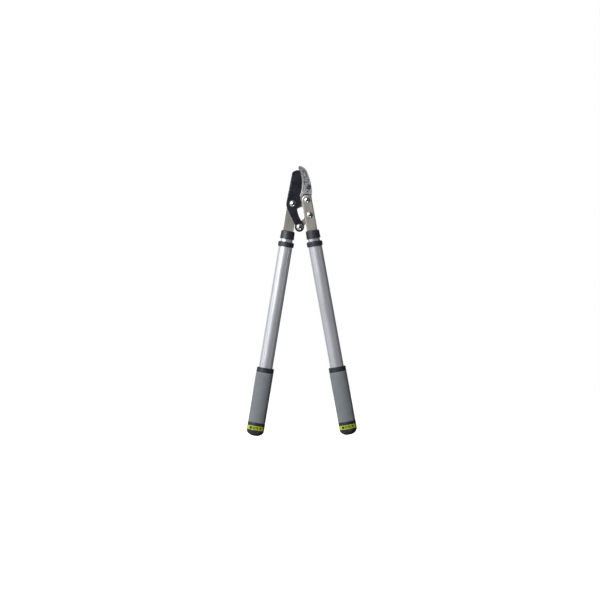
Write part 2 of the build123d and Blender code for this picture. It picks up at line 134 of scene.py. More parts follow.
class NodeSheet:
    """A material's node tree, filled in a maker's steps."""

    def __init__(self, name: str) -> None:
        """Start an empty finish.

        Args:
            name: Name of the material.
        """
        self.material = bpy.data.materials.new(name)
        self.material.use_nodes = True
        self.tree = self.material.node_tree
        self.shader = self.tree.nodes["Principled BSDF"]
        self.place = self.add("ShaderNodeTexCoord").outputs["Object"]

    def add(self, kind: str, **settings: object) -> bpy.types.Node:
        """Add a node with some of its own settings.

        Args:
            kind: Blender's name of the node.
            **settings: Properties of the node.

        Returns:
            The new node.
        """
        node = self.tree.nodes.new(kind)
        for key, value in settings.items():
            setattr(node, key, value)
        return node

    def wire(self, socket: NodeSocket, value: object) -> None:
        """Feed a socket from another socket or with a fixed value.

        Args:
            socket: Input to feed.
            value: Output socket, colour or number.
        """
        if isinstance(value, NodeSocket):
            self.tree.links.new(value, socket)
        elif isinstance(value, tuple) and len(value) == 3 and socket.type == "RGBA":
            socket.default_value = (*value, 1.0)
        else:
            socket.default_value = value

    def surface(self, **values: object) -> None:
        """Feed the shader's sockets, with underscores for the spaces in their names."""
        for key, value in values.items():
            self.wire(self.shader.inputs[key.replace("_", " ")], value)

    def stretched(self, stretch: Sequence[float], lean: float) -> NodeSocket:
        """Object coordinates turned to a leaning handle and stretched along it.

        Args:
            stretch: Scale across, through and along the handle.
            lean: Turn about Y, in radians.

        Returns:
            The coordinates.
        """
        turned = self.add("ShaderNodeMapping")
        turned.inputs["Rotation"].default_value = (0.0, lean, 0.0)
        self.wire(turned.inputs["Vector"], self.place)
        scaled = self.add("ShaderNodeMapping")
        scaled.inputs["Scale"].default_value = tuple(stretch)
        self.wire(scaled.inputs["Vector"], turned.outputs["Vector"])
        return scaled.outputs["Vector"]

    def grain(
        self,
        scale: float,
        detail: float = 3.0,
        stretch: Sequence[float] = (1.0, 1.0, 1.0),
        lean: float = 0.0,
    ) -> NodeSocket:
        """Noise over the piece.

        Args:
            scale: Spots in a metre.
            detail: Octaves of finer noise.
            stretch: Scale across, through and along the handle.
            lean: Turn about Y, in radians.

        Returns:
            The noise, about 0 to 1.
        """
        node = self.add("ShaderNodeTexNoise")
        self.wire(node.inputs["Vector"], self.stretched(stretch, lean))
        node.inputs["Scale"].default_value = scale
        node.inputs["Detail"].default_value = detail
        return node.outputs["Fac"]

    def cells(self, scale: float) -> NodeSocket:
        """Distance to the nearest cell centre of a cellular pattern.

        Args:
            scale: Cells in a metre.

        Returns:
            The distance.
        """
        node = self.add("ShaderNodeTexVoronoi")
        self.wire(node.inputs["Vector"], self.place)
        node.inputs["Scale"].default_value = scale
        return node.outputs["Distance"]

    def spread(
        self,
        value: NodeSocket,
        source: Sequence[float],
        target: Sequence[float] = (0.0, 1.0),
    ) -> NodeSocket:
        """Map a value from one range to another, held at the ends.

        Args:
            value: Value to map.
            source: Lowest and highest value in.
            target: Lowest and highest value out.

        Returns:
            The mapped value.
        """
        node = self.add("ShaderNodeMapRange")
        self.wire(node.inputs["Value"], value)
        limits = ("From Min", "From Max", "To Min", "To Max")
        for key, limit in zip(limits, (*source, *target)):
            node.inputs[key].default_value = limit
        return node.outputs["Result"]

    def blend(self, share: object, first: object, second: object) -> NodeSocket:
        """Mix two colours.

        Args:
            share: Share of the second colour.
            first: Colour at 0.
            second: Colour at 1.

        Returns:
            The mixed colour.
        """
        node = self.add("ShaderNodeMix", data_type="RGBA")
        self.wire(node.inputs["Factor"], share)
        self.wire(node.inputs[6], first)
        self.wire(node.inputs[7], second)
        return node.outputs[2]

    def sums(self, operation: str, first: object, second: object = 0.0) -> NodeSocket:
        """Do one sum on values.

        Args:
            operation: Blender's name of the operation.
            first: First value.
            second: Second value.

        Returns:
            The result.
        """
        node = self.add("ShaderNodeMath", operation=operation)
        self.wire(node.inputs[0], first)
        self.wire(node.inputs[1], second)
        return node.outputs[0]

    def marked(self, name: str) -> NodeSocket:
        """Read a value that the piece's mesh carries under a name."""
        return self.add("ShaderNodeAttribute", attribute_name=name).outputs["Fac"]

    def relief(self, *layers: tuple[NodeSocket, float]) -> None:
        """Raise the surface by layers of height.

        Args:
            *layers: Height and its depth in metres, coarse layers first.
        """
        last = None
        for height, depth in layers:
            node = self.add("ShaderNodeBump")
            self.wire(node.inputs["Height"], height)
            node.inputs["Distance"].default_value = depth
            if last is not None:
                self.wire(node.inputs["Normal"], last)
            last = node.outputs["Normal"]
        self.wire(self.shader.inputs["Normal"], last)


class WorldSheet(NodeSheet):
    """The surroundings' node tree, filled in the same steps."""

    def __init__(self, name: str) -> None:
        """Start empty surroundings.

        Args:
            name: Name of the world.
        """
        self.world = bpy.data.worlds.new(name)
        self.world.use_nodes = True
        self.tree = self.world.node_tree
        self.tree.nodes.clear()
        self.place = self.add("ShaderNodeTexCoord").outputs["Generated"]


@dataclass(frozen=True)
class Finish:
    """What every finish has; each kind builds its own material."""

    name: str
    slot: Slot

    def material(self) -> Material:
        """Build the material."""
        raise NotImplementedError


@dataclass(frozen=True)
class BrushedMetal(Finish):
    """Bare or plated metal with a fine grain along its handle and a few dull smears."""

    colour: Colour
    roughness: float
    lean: float = 0.0
    contrast: float = 0.08
    metal: float = 1.0
    edge: Colour = tone(226, 226, 224)

    def material(self) -> Material:
        """Build the material."""
        sheet = NodeSheet(self.name)
        lines = sheet.grain(1.0, 4.0, (2600.0, 2600.0, 30.0), self.lean)
        smears = sheet.grain(26.0, 3.0, (1.0, 1.0, 0.4), self.lean)
        low = scaled(self.colour, 1 - self.contrast)
        high = scaled(self.colour, 1 + self.contrast)
        base = sheet.blend(sheet.spread(smears, (0.3, 0.7)), low, high)
        fine = sheet.spread(lines, (0.35, 0.65), (0.0, 0.35))
        base = sheet.blend(fine, base, low)
        rubbed = sheet.spread(sheet.grain(320.0), (0.42, 0.6), (0.0, 0.8))
        edge_mark = sheet.sums("MULTIPLY", sheet.marked("wear_and_painted_light"), rubbed)
        shine = sheet.spread(smears, (0.3, 0.7), (self.roughness * 0.85, self.roughness * 1.15))
        sheet.surface(
            Base_Color=sheet.blend(edge_mark, base, self.edge),
            Metallic=self.metal,
            Roughness=sheet.sums("ADD", shine, sheet.spread(lines, (0.3, 0.7), (-0.04, 0.04))),
        )
        sheet.relief((smears, 0.00004), (lines, 0.000012))
        return sheet.material


@dataclass(frozen=True)
class Plating(Finish):
    """Bright plating with the faintest waves and hairline scratches."""

    colour: Colour
    roughness: float
    bloom: Colour
    depth: float = 0.00002

    def material(self) -> Material:
        """Build the material."""
        sheet = NodeSheet(self.name)
        clouds = sheet.grain(180.0, 3.0)
        scratches = sheet.grain(900.0, 5.0, (1.0, 1.0, 0.15), 0.6)
        tint = sheet.spread(clouds, (0.4, 0.7), (0.0, 0.5))
        sheet.surface(
            Base_Color=sheet.blend(tint, self.colour, self.bloom),
            Metallic=1.0,
            Roughness=sheet.spread(scratches, (0.4, 0.7), (self.roughness, self.roughness * 1.9)),
        )
        sheet.relief((clouds, self.depth), (scratches, self.depth / 4))
        return sheet.material


@dataclass(frozen=True)
class CastMetal(Finish):
    """Sand-cast metal: a rough pocket, smoother lands, and a polished ground chamfer; the chamfer and the
    middle of each rounded edge are painted darker, a painted shade.
    """

    land: Colour
    pocket: Colour
    # Colour of the chamfer and of the rounded edges: a painted shade, darker than the land.
    ground: Colour

    def material(self) -> Material:
        """Build the material."""
        sheet = NodeSheet(self.name)
        sand = sheet.grain(1500.0, 4.0)
        lumps = sheet.grain(260.0, 3.0)
        clouds = sheet.grain(45.0, 3.0)
        shaded = scaled(self.land, 0.8)
        base = sheet.blend(sheet.spread(clouds, (0.35, 0.65)), self.land, shaded)
        pocket = sheet.marked("pocket")
        base = sheet.blend(pocket, base, self.pocket)
        speckle = sheet.spread(sand, (0.5, 0.68), (0.0, 0.45))
        base = sheet.blend(speckle, base, scaled(self.land, 0.55))
        blotches = sheet.spread(sheet.grain(300.0, 5.0), (0.43, 0.55))
        deep = sheet.sums("MULTIPLY", blotches, sheet.spread(pocket, (0.0, 1.0), (0.4, 0.9)))
        base = sheet.blend(deep, base, scaled(self.pocket, 0.22))
        flecks = sheet.spread(sheet.grain(520.0, 3.0), (0.56, 0.66), (0.0, 0.7))
        base = sheet.blend(flecks, base, scaled(self.land, 1.5))
        # Painted shade: the ground chamfer and the middle of each rounded edge are painted darker; only
        # their lower roughness is a real polish.
        bright = sheet.sums("MAXIMUM", sheet.marked("ground"), sheet.marked("wear_and_painted_light"))
        base = sheet.blend(bright, base, self.ground)
        rough = sheet.sums("ADD", sheet.spread(lumps, (0.3, 0.7), (0.36, 0.5)), pocket)
        polish = sheet.sums("MULTIPLY", bright, 0.05)
        rough = sheet.sums("SUBTRACT", sheet.sums("MINIMUM", rough, 0.58), polish)
        sheet.surface(Base_Color=base, Metallic=0.9, Roughness=rough)
        sheet.relief((lumps, 0.0003), (sand, 0.00008))
        return sheet.material


@dataclass(frozen=True)
class CoatedBlade(Finish):
    """Blue-black non-stick coating, rubbed to bright steel on its edges and ground bevel."""

    coat: Colour
    steel: Colour
    lean: float
    spine: float
    rubbed: Step
    chip_depth: float
    front: float
    chip_back: Step = (0.6 * MM, 1.2 * MM)

    def material(self) -> Material:
        """Build the material."""
        sheet = NodeSheet(self.name)
        clouds = sheet.grain(60.0, 4.0)
        orange_peel = sheet.grain(1400.0, 2.0)
        paler = tuple(c * 1.3 + 0.001 for c in self.coat)
        base = sheet.blend(sheet.spread(clouds, (0.4, 0.7)), self.coat, paler)
        parts = sheet.add("ShaderNodeSeparateXYZ")
        sheet.wire(parts.inputs["Vector"], sheet.stretched((1.0, 1.0, 1.0), self.lean))
        inside = sheet.spread(parts.outputs["X"], (self.spine, self.spine + self.chip_depth), (0.17, 0.02))
        low, high = self.rubbed
        up = sheet.spread(parts.outputs["Z"], (low - CHIP_FADE, low))
        down = sheet.spread(parts.outputs["Z"], (high, high + CHIP_FADE), (1.0, 0.0))
        near, far = (self.front + back for back in self.chip_back)
        shallow = sheet.spread(parts.outputs["Y"], (near, far), (1.0, 0.0))
        rubbed = sheet.sums("MULTIPLY", inside, sheet.sums("MULTIPLY", up, down))
        rubbed = sheet.sums("MULTIPLY", rubbed, shallow)
        chips = sheet.sums("ADD", sheet.grain(280.0, 2.0), rubbed)
        bare = sheet.spread(chips, (0.68, 0.7))
        bare = sheet.sums("MULTIPLY", bare, sheet.spread(rubbed, (0.02, 0.03)))
        bare = sheet.sums("MAXIMUM", bare, sheet.marked("ground"))
        scored = sheet.grain(1.0, 3.0, (900.0, 900.0, 2600.0), 0.3)
        steel = sheet.blend(sheet.spread(scored, (0.4, 0.6), (0.0, 0.4)), self.steel, tone(150, 152, 155))
        sheet.surface(
            Base_Color=sheet.blend(bare, base, steel),
            Metallic=sheet.spread(bare, (0.0, 1.0), (0.25, 1.0)),
            Roughness=sheet.spread(clouds, (0.3, 0.7), (0.27, 0.38)),
        )
        sheet.relief((clouds, 0.00003), (orange_peel, 0.000014))
        return sheet.material


@dataclass(frozen=True)
class MouldedPlastic(Finish):
    """Moulded plastic with spark-eroded grain and paler rubbed edges."""

    colour: Colour
    rubbed: Colour
    roughness: float = 0.42
    grain_size: float = 2100.0

    def material(self) -> Material:
        """Build the material."""
        sheet = NodeSheet(self.name)
        pits = sheet.grain(self.grain_size, 2.0)
        handling = sheet.grain(70.0, 4.0)
        mottle = sheet.spread(handling, (0.35, 0.7), (0.0, 0.5))
        base = sheet.blend(mottle, self.colour, scaled(self.colour, 1.45))
        edge_mark = sheet.sums("MULTIPLY", sheet.marked("wear_and_painted_light"), sheet.spread(handling, (0.4, 0.6), (0.15, 0.7)))
        sheet.surface(
            Base_Color=sheet.blend(edge_mark, base, self.rubbed),
            Roughness=sheet.spread(handling, (0.3, 0.7), (self.roughness * 0.85, self.roughness * 1.15)),
        )
        sheet.relief((handling, 0.00005), (pits, 0.00003))
        return sheet.material


@dataclass(frozen=True)
class ClosedFoam(Finish):
    """Closed-cell foam rubber: a matt skin of fine cells with a soft sheen, and a painted highlight on its
    lip.
    """

    colour: Colour
    # rim: a lighter colour on the pressed lip, a painted highlight.
    rim: Colour

    def material(self) -> Material:
        """Build the material."""
        sheet = NodeSheet(self.name)
        cells = sheet.cells(1250.0)
        mottle = sheet.grain(55.0, 5.0)
        speckle = sheet.grain(800.0, 2.0)
        darker = scaled(self.colour, 0.9)
        base = sheet.blend(sheet.spread(mottle, (0.35, 0.65)), darker, self.colour)
        base = sheet.blend(sheet.spread(speckle, (0.55, 0.7), (0.0, 0.3)), base, darker)
        pores = sheet.spread(cells, (0.0, 0.35), (0.35, 0.0))
        base = sheet.blend(pores, base, scaled(self.colour, 0.5))
        # Painted highlight: the pressed lip is painted lighter.
        base = sheet.blend(sheet.marked("wear_and_painted_light"), base, self.rim)
        sheet.surface(
            Base_Color=base,
            Roughness=sheet.spread(mottle, (0.3, 0.7), (0.78, 0.92)),
            Sheen_Weight=0.1,
            Sheen_Roughness=0.45,
            Specular_IOR_Level=0.3,
        )
        sheet.relief((mottle, 0.0001), (speckle, 0.00006), (cells, 0.00008))
        return sheet.material


@dataclass(frozen=True)
class PrintedBand(Finish):
    """Lime film printed with plain dark bars, on the band's own flat coordinates."""

    lime: Colour
    ink: Colour
    bars: Step = (3.4, 0.74)
    words: Step = (7.9, 0.86)
    block: Step = (-11.5, 2.8)
    half_width: float = 14.3
    half_height: float = 3.1
    border: float = 4.9

    def material(self) -> Material:
        """Build the material."""
        sheet = NodeSheet(self.name)
        flat = sheet.add("ShaderNodeUVMap", uv_map="band").outputs["UV"]
        parts = sheet.add("ShaderNodeSeparateXYZ")
        sheet.wire(parts.inputs["Vector"], flat)
        across, along = parts.outputs["X"], sheet.sums("ABSOLUTE", parts.outputs["Y"])

        def stripes(line: NodeSocket, pitch: float, share: float) -> NodeSocket:
            """Stripes that take a share of each pitch along a line, in millimetres."""
            return sheet.sums("LESS_THAN", sheet.sums("FRACT", sheet.sums("DIVIDE", line, pitch)), share)

        bars = sheet.sums("MULTIPLY", stripes(across, *self.bars), stripes(across, *self.words))
        gaps = sheet.sums("MULTIPLY", stripes(across, 6.1, 0.5), sheet.sums("LESS_THAN", along, 0.4))
        bars = sheet.sums("MULTIPLY", bars, sheet.sums("SUBTRACT", 1.0, gaps))
        centre, half = self.block
        off = sheet.sums("ABSOLUTE", sheet.sums("SUBTRACT", across, centre))
        block = sheet.sums("LESS_THAN", off, half)
        bars = sheet.sums("MAXIMUM", bars, block)
        wide = sheet.sums("LESS_THAN", sheet.sums("ABSOLUTE", across), self.half_width)
        bars = sheet.sums("MULTIPLY", bars, wide)
        bars = sheet.sums("MULTIPLY", bars, sheet.sums("LESS_THAN", along, self.half_height))
        border = sheet.sums("GREATER_THAN", along, self.border)
        printed = sheet.sums("MAXIMUM", bars, border)
        scuffs = sheet.grain(240.0, 4.0)
        thin_ink = sheet.sums("MULTIPLY", printed, sheet.spread(scuffs, (0.3, 0.5), (0.75, 1.0)))
        paler = scaled(self.lime, 1.25)
        film = sheet.blend(sheet.spread(scuffs, (0.4, 0.7), (0.0, 0.6)), self.lime, paler)
        sheet.surface(
            Base_Color=sheet.blend(thin_ink, film, self.ink),
            Roughness=sheet.spread(scuffs, (0.3, 0.7), (0.28, 0.42)),
        )
        sheet.relief((scuffs, 0.00003), (printed, 0.00002))
        return sheet.material


@cache
def coat(finish: Finish) -> Material:
    """Build a finish once, however many pieces wear it."""
    return finish.material()


# ---- Making a piece ----


def finish_piece(
    name: str,
    bm: BMesh,
    body: Body,
    finish: Finish,
    nodes: Iterable[str] = (),
    weighted: bool = True,
) -> Object:
    """Turn a mesh into a finished piece on its body.

    Args:
        name: Name of the piece.
        bm: Mesh in its place; it is freed.
        body: Body that the piece moves with.
        finish: Finish of the piece.
        nodes: Nodes that the piece stands for.
        weighted: Whether flat faces keep their shading beside rounded edges.

    Returns:
        The piece.
    """
    mesh = bpy.data.meshes.new(name)
    bm.to_mesh(mesh)
    bm.free()
    stored = mesh.attributes.get("custom_normal")
    if stored is not None:
        mesh.attributes.remove(stored)
    mesh.materials.clear()
    mesh.materials.append(coat(finish))
    mesh.shade_smooth()
    mesh.set_sharp_from_angle(angle=CREASE)
    piece = bpy.data.objects.new(name, mesh)
    bpy.context.scene.collection.objects.link(piece)
    if weighted:
        shading = piece.modifiers.new("shading", "WEIGHTED_NORMAL")
        shading.keep_sharp = True
    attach(piece, body.value)
    nodes = tuple(nodes)
    if nodes:
        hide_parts(*nodes)
    log.info("%s rides on %s, %d faces", name, body.value, len(mesh.polygons))
    return piece


def repaint(node: str, finish: Finish) -> None:
    """Give a node that keeps its own shape a better finish.

    Args:
        node: Name of the node.
        finish: Finish of the node.
    """
    slots = frame["nodes"][node].material_slots
    slots[0].material = coat(finish)
    log.info("%s keeps its shape", node)


def welded(node: str) -> BMesh:
    """Copy a node's mesh, with its triangles welded and its flat faces joined.

    Args:
        node: Name of the node.

    Returns:
        The copy.
    """
    bm = bmesh.new()
    bm.from_mesh(frame["nodes"][node].data)
    for face in bm.faces:
        face.material_index = 0
    bmesh.ops.remove_doubles(bm, verts=bm.verts, dist=WELD)
    bmesh.ops.dissolve_limit(bm, angle_limit=FLAT_ANGLE, verts=bm.verts, edges=bm.edges)
    bm.normal_update()
    return bm


def ease_edges(bm: BMesh, width: float, angle: float = CREASE) -> None:
    """Round the outer edges and mark the middle of each rounding, which most finishes paint as wear and the
    cast hook's finish paints darker as painted shade.

    Args:
        bm: Mesh to work on.
        width: Width of the rounding.
        angle: Least angle of an edge that is rounded.
    """
    sharp = [e for e in bm.edges if e.is_manifold and e.is_convex and e.calc_face_angle() > angle]
    edge_mark = bm.verts.layers.float.get("wear_and_painted_light") or bm.verts.layers.float.new("wear_and_painted_light")
    made = bmesh.ops.bevel(
        bm,
        geom=sharp,
        offset=width,
        offset_type="OFFSET",
        segments=2,
        profile=0.5,
        affect="EDGES",
        clamp_overlap=True,
        material=-1,
    )
    rounding = set(made["faces"])
    for vert in {v for f in rounding for v in f.verts}:
        if all(f in rounding for f in vert.link_faces):
            vert[edge_mark] = 1.0


def mark(bm: BMesh, name: str, chosen: Callable[[BMFace], bool]) -> None:
    """Mark some faces for their finish.

    Args:
        bm: Mesh to work on.
        name: Name of the mark.
        chosen: Test of a face.
    """
    layer = bm.faces.layers.float.get(name) or bm.faces.layers.float.new(name)
    for face in bm.faces:
        face[layer] = 1.0 if chosen(face) else 0.0


def turned(profile: Sequence[Step], centre: Vector, steps: int = 72) -> BMesh:
    """Turn a profile about an axis along Y, as on a lathe.

    Args:
        profile: Points as (radius, depth in Y), from one end of the axis round to the other.
        centre: Point on the axis, whose Y isn't used.
        steps: Steps of the full turn.

    Returns:
        The turned mesh.
    """
    bm = bmesh.new()
    first = bm.verts.new((centre.x + profile[0][0], profile[0][1], centre.z))
    last = first
    for (radius, depth), (old_radius, old_depth) in zip(profile[1:], profile):
        grown = bmesh.ops.extrude_vert_indiv(bm, verts=[last])["verts"]
        bmesh.ops.translate(bm, verts=grown, vec=(radius - old_radius, depth - old_depth, 0))
        last = grown[0]
    bmesh.ops.spin(
        bm,
        geom=bm.verts[:] + bm.edges[:],
        cent=(centre.x, 0, centre.z),
        axis=(0, 1, 0),
        angle=2 * pi,
        steps=steps,
        use_merge=True,
    )
    bmesh.ops.remove_doubles(bm, verts=bm.verts, dist=WELD)
    bmesh.ops.recalc_face_normals(bm, faces=bm.faces)
    return bm


def quarter(centre: Step, size: Step, start: float, end: float, count: int) -> list[Step]:
    """Points of a rounded corner of two radii, between two angles in degrees, in some steps."""
    angles = [radians(start + (end - start) * i / count) for i in range(count + 1)]
    return [(centre[0] + size[0] * cos(a), centre[1] + size[1] * sin(a)) for a in angles]


# ---- Head ----


@dataclass
class PivotBolt:
    """Domed bolt with its nut, nut washer and locking insert."""

    name: str
    body: Body
    head_radius: float = 8.0 * MM
    rim: float = 0.9 * MM
    height: float = 4.6 * MM
    shank: float = 4.0 * MM
    thread: float = 0.6 * MM
    chrome: Finish = Plating("bolt chrome", Slot.CHROME, tone(238, 239, 241), 0.05, tone(222, 226, 232))
    zinc: Finish = Plating(
        "zinc plate", Slot.PLAIN_STEEL, tone(196, 198, 200), 0.24, tone(176, 182, 186), 0.00005
    )
    nylon: Finish = MouldedPlastic("nylon insert", Slot.NYLON, tone(52, 78, 140), tone(90, 110, 160), 0.35)

    def centre(self) -> Vector:
        """Middle of the bolt, from its node's box."""
        low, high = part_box(self.name + "_bolt")
        return (low + high) / 2

    def bolt(self) -> Object:
        """Turn the bolt: domed head, rolled rim, shank and the thread's end."""
        low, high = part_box(self.name + "_bolt")
        seat = low.y + self.height
        rim_front = seat - self.rim
        dome = self.height - self.rim
        ball = (self.head_radius**2 + dome**2) / (2 * dome)
        sweep = atan2(self.head_radius, ball - dome)
        count = 14
        profile = [
            (ball * sin(sweep * i / count), low.y + ball - ball * cos(sweep * i / count))
            for i in range(count)
        ]
        soft = 0.25 * MM
        profile += quarter((self.head_radius - soft, rim_front + soft), (soft, soft), -60, 0, 3)
        profile += quarter((self.head_radius - soft, seat - soft), (soft, soft), 0, 90, 3)
        profile.append((self.shank, seat))
        tip = high.y - 0.8 * MM
        nut_end = high.y - 1.5 * MM
        profile.append((self.shank, nut_end))
        turns = 2
        for i in range(turns):
            start = nut_end + (tip - nut_end) * i / turns
            profile.append((self.shank - self.thread / 2, start + (tip - nut_end) / turns / 2))
            profile.append((self.shank, start + (tip - nut_end) / turns))
        profile += [(self.shank - 0.8 * MM, high.y), (0.0, high.y)]
        node = self.name + "_bolt"
        bm = turned(profile, self.centre(), 96)
        return finish_piece(node + "_domed", bm, self.body, self.chrome, [node])

    def build(self) -> None:
        """Make every piece of the pivot."""
        self.bolt()
        make_washer(self.name + "_nut_washer", self.shank + 0.1 * MM, self.body, self.zinc)
        make_nut(self.name + "_nut", self.body, self.zinc)
        _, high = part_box(self.name + "_nut")
        inner, outer = self.shank + 0.05 * MM, self.shank + 1.1 * MM
        make_insert(self.name, self.centre(), inner, outer, high.y, self.body, self.nylon)
        repaint(self.name + "_washer", self.zinc)


def make_washer(node: str, bore: float, body: Body, finish: Finish) -> Object:
    """Turn a washer with rounded corners.

    Args:
        node: Node that it stands for.
        bore: Radius of its hole.
        body: Body that it moves with.
        finish: Finish of the washer.

    Returns:
        The washer.
    """
    low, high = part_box(node)
    outer = (high.x - low.x) / 2
    soft = min(0.3 * MM, (high.y - low.y) / 3)
    profile = [(bore, low.y)]
    profile += quarter((outer - soft, low.y + soft), (soft, soft), -90, 0, 3)
    profile += quarter((outer - soft, high.y - soft), (soft, soft), 0, 90, 3)
    profile += [(bore, high.y), (bore, low.y)]
    return finish_piece(node + "_turned", turned(profile, (low + high) / 2), body, finish, [node])


def make_nut(node: str, body: Body, finish: Finish) -> Object:
    """Ease the edges of a nut.

    Args:
        node: Node that it stands for.
        body: Body that it moves with.
        finish: Finish of the nut.

    Returns:
        The nut.
    """
    bm = welded(node)
    ease_edges(bm, 0.18 * MM)
    return finish_piece(node + "_eased", bm, body, finish, [node])


def make_insert(
    name: str, centre: Vector, inner: float, outer: float, end: float, body: Body, finish: Finish
) -> Object:
    """Turn a nut's locking insert, which stands a little proud of the nut.

    Args:
        name: Name of the nut's bolt.
        centre: Point on its axis.
        inner: Radius of its hole.
        outer: Outer radius.
        end: Depth in Y of the nut's outer face.
        body: Body that it moves with.
        finish: Finish of the insert.

    Returns:
        The insert.
    """
    proud, soft = 0.35 * MM, 0.2 * MM
    profile = [(inner, end - 0.2 * MM), (outer, end - 0.2 * MM), (outer, end + proud - soft)]
    profile += [(outer - soft, end + proud), (inner + soft, end + proud), (inner, end + proud - soft)]
    profile.append(profile[0])
    return finish_piece(name + "_lock_insert", turned(profile, centre, 48), body, finish)


@dataclass
class Hook:
    """Cast hook with its sunk screw, dowel, washer and nut."""

    edge_centre: tuple[float, float] = (-78.9 * MM, 116.5 * MM)
    chamfer_reach: float = 89.0 * MM
    soft: float = 0.45 * MM
    # The cast finish's third colour is a painted shade on the chamfer and the rounded edges.
    cast: Finish = CastMetal(
        "cast hook", Slot.CAST_HOOK, tone(176, 177, 179), tone(132, 133, 136), tone(104, 105, 108)
    )
    screw: Finish = Plating("socket screw", Slot.DARK_STEEL, tone(104, 106, 111), 0.3, tone(66, 68, 72))
    zinc: Finish = PivotBolt.zinc
    nylon: Finish = PivotBolt.nylon

    def jaw(self) -> Object:
        """Ease the casting's edges and mark its pocket and its ground chamfer."""
        bm = welded("hook_jaw")
        low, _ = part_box("hook_jaw")
        centre = Vector((self.edge_centre[0], 0, self.edge_centre[1]))

        def in_pocket(face: BMFace) -> bool:
            """Whether a face is the floor of the shallow pocket."""
            depth = face.calc_center_median().y - low.y
            return face.normal.y < -0.99 and 0.6 * MM < depth < 1.0 * MM

        def on_chamfer(face: BMFace) -> bool:
            """Whether a face is on the ground chamfer beside the working edge."""
            middle = face.calc_center_median()
            reach = hypot(middle.x - centre.x, middle.z - centre.z)
            return -0.97 < face.normal.y < -0.3 and reach < self.chamfer_reach

        mark(bm, "pocket", in_pocket)
        # The cast finish paints this chamfer darker, as painted shade.
        mark(bm, "ground", on_chamfer)
        ease_edges(bm, self.soft, PLATE_CREASE)
        return finish_piece("hook_jaw_cast", bm, Body.HEAD, self.cast, ["hook_jaw"])

    def socket_screw(self) -> Object:
        """Ease the screw's socket."""
        bm = welded("hook_screw")
        ease_edges(bm, 0.12 * MM)
        return finish_piece("hook_screw_socket", bm, Body.HEAD, self.screw, ["hook_screw"])

    def dowel(self) -> Object:
        """Turn the dowel, with a rounded front end."""
        low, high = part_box("hook_dowel")
        radius, soft = (high.x - low.x) / 2, 0.7 * MM
        profile = [(0.0, low.y)]
        profile += quarter((radius - soft, low.y + soft), (soft, soft), -90, 0, 4)
        profile += [(radius, high.y), (0.0, high.y)]
        bm = turned(profile, (low + high) / 2, 48)
        return finish_piece("hook_dowel_rounded", bm, Body.HEAD, self.screw, ["hook_dowel"])

    def build(self) -> None:
        """Make every piece of the hook."""
        self.jaw()
        self.socket_screw()
        self.dowel()
        bore = 3.1 * MM
        make_washer("hook_screw_washer", bore, Body.HEAD, self.zinc)
        make_nut("hook_screw_nut", Body.HEAD, self.zinc)
        low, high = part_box("hook_screw_nut")
        make_insert("hook_screw", (low + high) / 2, bore, bore + 0.9 * MM, high.y, Body.HEAD, self.nylon)


@dataclass
class Blade:
    """Coated cutting blade, ground on its back."""

    pivot: Vector
    spine_foot: Step = (-15.2 * MM, 2.0 * MM)
    spine_top: Step = (-1.7 * MM, 72.2 * MM)
    rubbed: Step = (0.25, 0.95)
    soft: float = 0.35 * MM
    chip_depth: float = 3.2 * MM

    def coated(self) -> Finish:
        """Coating, rubbed through in small chips along the blade's spine."""
        foot = self.pivot + Vector((self.spine_foot[0], 0, self.spine_foot[1]))
        top = self.pivot + Vector((self.spine_top[0], 0, self.spine_top[1]))
        lean = -atan2(top.x - foot.x, top.z - foot.z)
        spine = foot.x * cos(lean) + foot.z * sin(lean)
        ends = [point.z * cos(lean) - point.x * sin(lean) for point in (foot, top)]
        rubbed = tuple(ends[0] + (ends[1] - ends[0]) * share for share in self.rubbed)
        low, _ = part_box("cutting_blade")
        coat_tone, steel_tone = tone(25, 27, 36), tone(205, 207, 210)
        return CoatedBlade(
            "blade coat", Slot.BLACK_BLADE, coat_tone, steel_tone,
            lean, spine, rubbed, self.chip_depth, low.y,
        )

    def build(self) -> None:
        """Ease the blade's edges and mark its ground bevel."""
        bm = welded("cutting_blade")
        _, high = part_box("cutting_blade")

        def on_bevel(face: BMFace) -> bool:
            """Whether a face is on the bevel ground at the back of the edge."""
            middle = face.calc_center_median()
            return 0.3 < face.normal.y < 0.985 and middle.y < high.y - 0.05 * MM

        mark(bm, "ground", on_bevel)
        ease_edges(bm, self.soft, PLATE_CREASE)
        finish_piece("cutting_blade_coated", bm, Body.BLADE, self.coated(), ["cutting_blade"])


@dataclass
class Bars:
    """Frame plate, right bar and link."""

    left_lean: float
    right_lean: float
    soft: float = 0.5 * MM
    colour: Colour = tone(200, 196, 189)

    def satin(self, lean: float) -> Finish:
        """Satin finish with its grain along a handle."""
        side = "left" if lean < 0 else "right"
        return BrushedMetal(side + " bar satin", Slot.GREY_BAR, self.colour, 0.36, lean, 0.06)

    def build(self) -> None:
        """Make the plates."""
        plates = (
            ("frame_plate", Body.HEAD, self.satin(self.left_lean), self.soft),
            ("right_bar", Body.RIGHT_HANDLE, self.satin(self.right_lean), 0.3 * MM),
            ("link_plate", Body.LINK, self.satin(self.right_lean), self.soft),
        )
        for node, body, finish, soft in plates:
            bm = welded(node)
            ease_edges(bm, soft, PLATE_CREASE)
            finish_piece(node + "_eased", bm, body, finish, [node])


# ---- Handles ----


